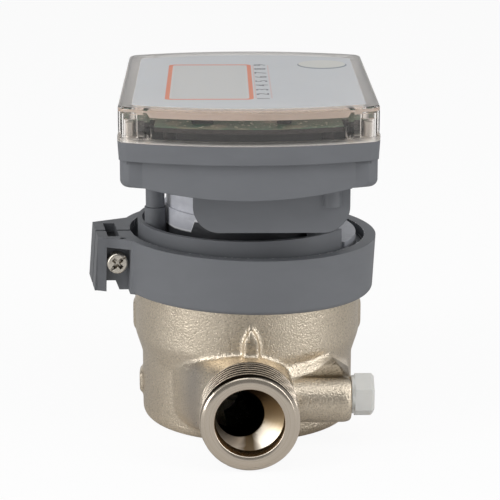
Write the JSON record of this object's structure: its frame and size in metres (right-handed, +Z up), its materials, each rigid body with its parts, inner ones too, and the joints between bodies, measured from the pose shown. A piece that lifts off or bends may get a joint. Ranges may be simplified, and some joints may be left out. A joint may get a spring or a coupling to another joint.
{
  "type": "water meter",
  "caption": "Single-jet dry-dial water meter for a 20 mm pipe, with threaded ends, a split clamp ring and an electronic display head under a clear cover.",
  "frame": {"origin": "middle of the pot's flat bottom", "axes": "+Y the way the water leaves, +Z up through the register, +X the side of the regulating plug"},
  "size_m": [0.1009, 0.13, 0.12],
  "materials": {
    "nickel_brass": "sand-cast and nickel plated, machined on the threads and faces",
    "plain_brass": "turned",
    "steel": "turned",
    "nickel_steel": "nickel plated",
    "magnet": "sintered ferrite, matt",
    "wheel_plastic": "moulded",
    "black_plastic": "moulded",
    "seal_rubber": "matt",
    "white_nylon": "moulded, slightly translucent",
    "ring_grey": "moulded, satin",
    "cup_grey": "moulded, satin",
    "tray_grey": "moulded, satin",
    "drum_grey": "moulded, light",
    "board_green": "solder mask",
    "component_black": "moulded",
    "display_glass": "display glass, unlit",
    "cell_jacket": "shrink sleeve",
    "clear_plastic": "clear, polished",
    "label_white": "printed sheet, satin"
  },
  "bodies": {
    "meter_body": {"brass_body": "nickel_brass", "lower_pivot": "steel", "pressure_plate": "black_plastic", "plate_seal": "seal_rubber", "upper_bearing": "wheel_plastic", "regulating_screw": "plain_brass", "regulating_seal": "seal_rubber", "regulating_plug": "white_nylon", "clamp_ring": "ring_grey", "clamp_screw": "nickel_steel", "spring_washer": "nickel_steel", "flat_washer": "nickel_steel", "clamp_nut": "nickel_steel"},
    "impeller_wheel": {"impeller": "wheel_plastic", "impeller_magnet": "magnet"},
    "display_head": {"register_cup": "cup_grey", "register_can": "black_plastic", "register_frame": "black_plastic", "pickup_board": "board_green", "register_drum": "drum_grey", "head_tray": "tray_grey", "cover_gasket": "seal_rubber", "head_screws": "steel", "battery": "cell_jacket", "circuit_board": "board_green", "board_spacers": "black_plastic", "board_components": "component_black", "lcd_panel": "display_glass", "clear_cover": "clear_plastic", "cover_screws": "steel", "dial_label": "label_white"},
    "follower": {"follower_carrier": "wheel_plastic", "follower_magnet": "magnet", "follower_spindle": "steel"}
  },
  "joints": [
    {"name": "impeller_spin", "type": "hinge", "parent": "meter_body", "child": "impeller_wheel", "pos_m": [0, 0, 0.0171], "axis": [0, 0, 1], "continuous": true},
    {"name": "head_swivel", "type": "hinge", "parent": "meter_body", "child": "display_head", "pos_m": [0, 0, 0.06], "axis": [0, 0, 1], "range_deg": [-175, 175]},
    {"name": "follower_spin", "type": "hinge", "parent": "display_head", "child": "follower", "pos_m": [0, 0, 0.05], "axis": [0, 0, 1], "continuous": true}
  ],
  "couplings": [
    {"joint": "follower_spin", "follows": "impeller_spin", "ratio": 1}
  ]
}
